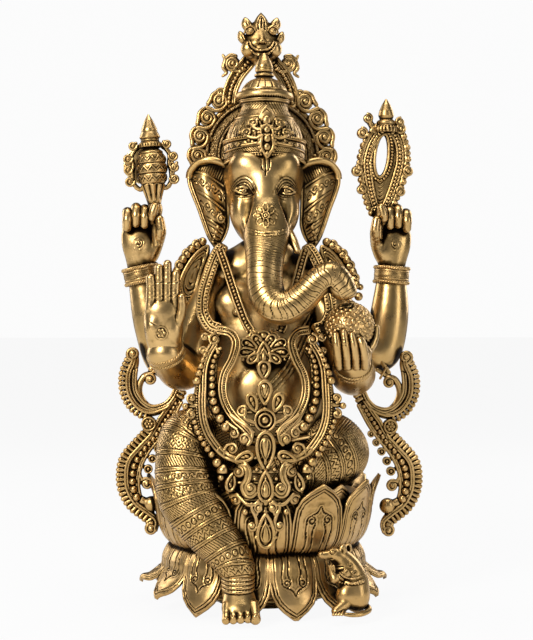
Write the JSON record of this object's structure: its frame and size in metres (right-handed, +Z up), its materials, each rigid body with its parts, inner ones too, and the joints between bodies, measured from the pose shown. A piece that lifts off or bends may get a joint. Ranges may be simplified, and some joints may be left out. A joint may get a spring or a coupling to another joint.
{
  "type": "seated deity idol",
  "caption": "Elephant-headed four-armed figure seated on a two-tier lotus, one leg down, with crown, halo, garland, side scrolls and a mouse.",
  "frame": {"origin": "centre of the round foot under the base, on the surface the idol stands on", "axes": "+Z up, -Y to the front of the figure, +X towards the figure's left hand"},
  "size_m": [0.324, 0.2712, 0.6358],
  "materials": {
    "skin_brass": "rubbed, satin, with dark patina in the hollows",
    "engraved_brass": "engraved, satin, with dark patina in the lines",
    "ornament_brass": "cast relief, satin, with dark patina between the beads",
    "lotus_brass": "satin, engraved, with dark patina low on the petals",
    "pale_brass": "polished",
    "closing_plate": "unpolished sheet",
    "steel_hardware": "plain"
  },
  "bodies": {
    "root": {"base_plate": "closing_plate", "base_screws": "steel_hardware", "lotus_base": "lotus_brass", "lotus_seat": "lotus_brass", "seat_bolts": "steel_hardware", "seat_nuts": "steel_hardware", "figure_bolts": "steel_hardware", "torso": "skin_brass", "right_leg": "engraved_brass", "left_leg": "engraved_brass", "right_foot": "skin_brass", "left_foot": "skin_brass", "right_front_arm": "skin_brass", "left_front_arm": "skin_brass", "right_rear_arm": "skin_brass", "left_rear_arm": "skin_brass", "shoulder_dowels": "steel_hardware", "right_front_hand": "skin_brass", "left_front_hand": "skin_brass", "right_rear_hand": "skin_brass", "left_rear_hand": "skin_brass", "right_front_bracelet": "ornament_brass", "left_front_bracelet": "ornament_brass", "right_rear_bracelet": "ornament_brass", "left_rear_bracelet": "ornament_brass", "modak": "engraved_brass", "goad": "ornament_brass", "chakra_disc": "pale_brass", "noose": "ornament_brass", "head": "skin_brass", "neck_stud": "steel_hardware", "trunk": "skin_brass", "right_ear": "engraved_brass", "left_ear": "engraved_brass", "tusk": "skin_brass", "crown_cap": "engraved_brass", "crown_band": "engraved_brass", "crown_jewel": "ornament_brass", "crown_brim": "ornament_brass", "crown_spire": "ornament_brass", "halo_plate": "engraved_brass", "halo_screws": "steel_hardware", "right_halo_scrolls": "ornament_brass", "left_halo_scrolls": "ornament_brass", "halo_crest": "ornament_brass", "right_shoulder_plate": "ornament_brass", "left_shoulder_plate": "ornament_brass", "right_sash": "ornament_brass", "left_sash": "ornament_brass", "necklace": "ornament_brass", "right_garland": "ornament_brass", "left_garland": "ornament_brass", "garland_pendant": "ornament_brass", "right_scroll_bracket": "ornament_brass", "left_scroll_bracket": "ornament_brass", "mouse": "lotus_brass"}
  },
  "joints": []
}
